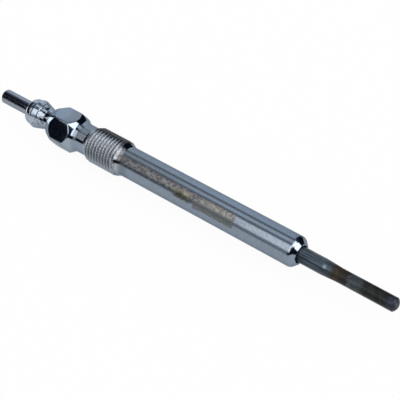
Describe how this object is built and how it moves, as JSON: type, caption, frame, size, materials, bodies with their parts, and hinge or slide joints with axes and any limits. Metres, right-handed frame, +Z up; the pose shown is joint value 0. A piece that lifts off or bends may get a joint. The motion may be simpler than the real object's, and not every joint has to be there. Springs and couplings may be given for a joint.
{
  "type": "diesel glow plug",
  "caption": "Slim sheathed glow plug with a contact pin, round nut, hexagon, thread, long shank with a sealing cone, and a stepped glow tube that heats a diesel engine's cylinder.",
  "frame": {"origin": "on the plug's axis, at the edge where the shank meets its sealing cone", "axes": "+X along the axis towards the heated tip; +Z up, with the plug lying on its side and one flat of its hexagon facing down"},
  "size_m": [0.1284, 0.0116, 0.01],
  "materials": {
    "body_plating": "nickel-plated steel, satin on the shank and bright on the hexagon",
    "pin_plating": "bright nickel-plated steel",
    "nut_plating": "bright nickel-plated steel, crimped",
    "insulator_plastic": "dark moulded plastic",
    "seal_rubber": "matt",
    "tube_alloy": "swaged heat-resistant alloy with a dark heat tint",
    "filler_ceramic": "compacted powder",
    "control_wire": "drawn wire",
    "heating_wire": "drawn wire with an oxide tint"
  },
  "bodies": {
    "root": {"plug_body": "body_plating", "connection_bolt": "pin_plating", "round_nut": "nut_plating", "insulating_washer": "insulator_plastic", "body_seal_ring": "seal_rubber", "glow_tube": "tube_alloy", "tube_seal": "seal_rubber", "insulating_filler": "filler_ceramic", "control_coil": "control_wire", "heating_coil": "heating_wire"}
  },
  "joints": []
}
